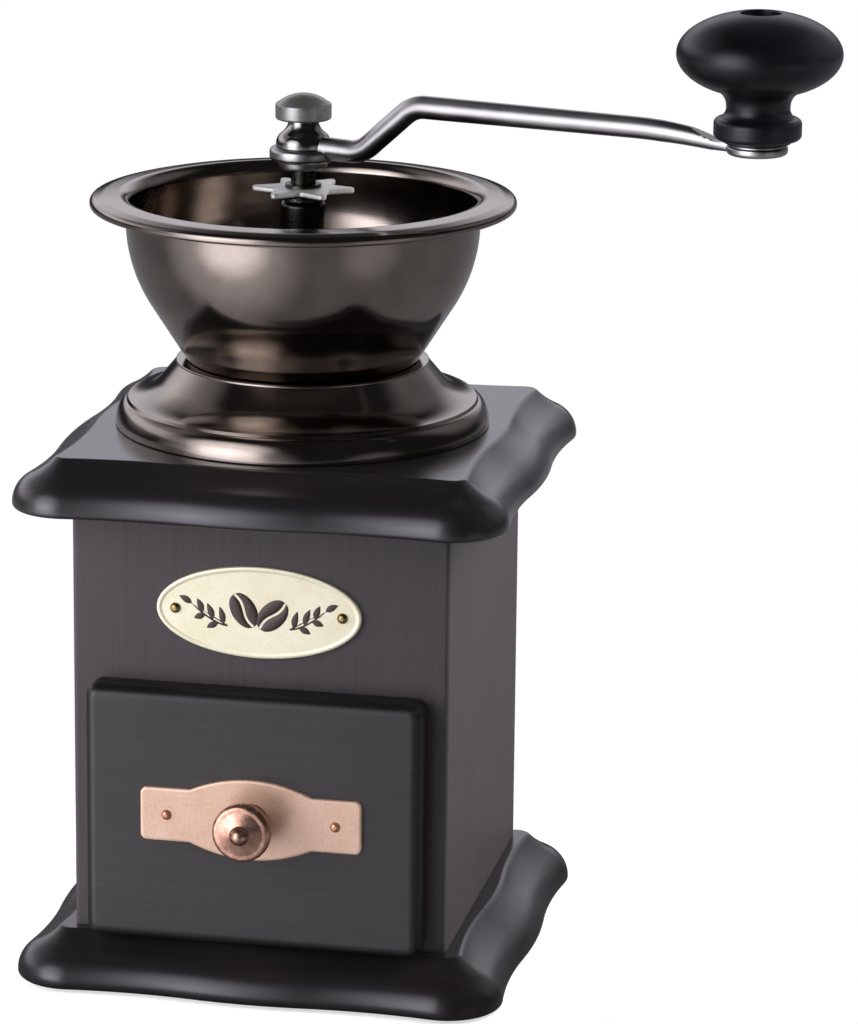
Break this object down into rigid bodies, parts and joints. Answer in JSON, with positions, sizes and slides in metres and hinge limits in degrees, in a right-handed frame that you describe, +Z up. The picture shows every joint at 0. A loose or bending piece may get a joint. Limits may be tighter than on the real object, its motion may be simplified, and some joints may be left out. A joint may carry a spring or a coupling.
{
  "type": "hand crank coffee grinder",
  "caption": "Wooden box coffee mill with a wavy moulded base and top, an open metal hopper bowl, a cranked handle with a black knob, and a drawer for the grounds.",
  "frame": {"origin": "centre of the face that the mill stands on", "axes": "+Z up along the grinding shaft, -Y out of the drawer front, +X to the right seen from the front"},
  "size_m": [0.1949, 0.1295, 0.2431],
  "materials": {
    "stained_wood": "dark espresso stain, satin lacquer",
    "plain_wood": "unfinished pale wood",
    "felt": "pressed felt",
    "screw_steel": "zinc-plated steel",
    "pale_brass": "pale brass sheet",
    "copper": "copper-plated sheet",
    "antique_copper": "antique copper plating",
    "dark_nickel": "polished dark nickel plating",
    "cast_metal": "plain casting",
    "burr_iron": "hardened cast iron",
    "bright_steel": "ground steel",
    "pewter": "satin pewter plating",
    "black_lacquer": "black lacquer, satin"
  },
  "bodies": {
    "housing": {"felt_pad": "felt", "base_plate": "stained_wood", "base_screws": "screw_steel", "front_panel": "stained_wood", "back_panel": "stained_wood", "left_panel": "stained_wood", "right_panel": "stained_wood", "top_plate": "stained_wood", "top_dowels": "plain_wood", "name_plate": "pale_brass", "name_plate_pins": "pale_brass", "burr_housing": "cast_metal", "housing_screws": "screw_steel", "outer_burr": "burr_iron", "hopper_skirt": "dark_nickel", "hopper_bowl": "dark_nickel", "bearing_bridge": "cast_metal", "bridge_screws": "screw_steel", "bearing_post": "dark_nickel", "lower_bridge": "cast_metal", "lower_bridge_screws": "screw_steel", "lower_bush": "pale_brass"},
    "thrust_washer": {"thrust_washer": "bright_steel"},
    "adjusting_wheel": {"adjusting_wheel": "pewter"},
    "crank": {"grind_shaft": "bright_steel", "inner_burr": "burr_iron", "burr_nut": "bright_steel", "spring_washer": "screw_steel", "burr_spring": "bright_steel", "crank_arm": "dark_nickel", "bell_washer": "dark_nickel", "cap_nut": "pewter", "knob_pin": "bright_steel", "knob_washer": "screw_steel"},
    "crank_knob": {"crank_knob": "black_lacquer"},
    "drawer": {"drawer_front": "stained_wood", "drawer_left_side": "plain_wood", "drawer_right_side": "plain_wood", "drawer_back": "plain_wood", "drawer_bottom": "plain_wood", "pull_plate": "copper", "pull_plate_pins": "copper", "drawer_knob": "antique_copper", "drawer_knob_screw": "screw_steel"}
  },
  "joints": [
    {"name": "crank_spin", "type": "hinge", "parent": "housing", "child": "thrust_washer", "pos_m": [0, 0, 0.1866], "axis": [0, 0, -1], "continuous": true},
    {"name": "grind_adjust", "type": "slide", "parent": "thrust_washer", "child": "crank", "axis": [0, 0, 1], "range_m": [0, 0.0008], "deforming": ["burr_spring"]},
    {"name": "adjust_turn", "type": "hinge", "parent": "thrust_washer", "child": "adjusting_wheel", "pos_m": [0, 0, 0.1888], "axis": [0, 0, -1], "range_deg": [0, 288]},
    {"name": "knob_spin", "type": "hinge", "parent": "crank", "child": "crank_knob", "pos_m": [0.11571, -0.04675, 0.2135], "axis": [0, 0, 1], "continuous": true},
    {"name": "drawer_slide", "type": "slide", "parent": "housing", "child": "drawer", "axis": [0, -1, 0], "range_m": [0, 0.07]}
  ],
  "couplings": [
    {"joint": "adjust_turn", "follows": "grind_adjust", "rad_per_m": 6283}
  ]
}
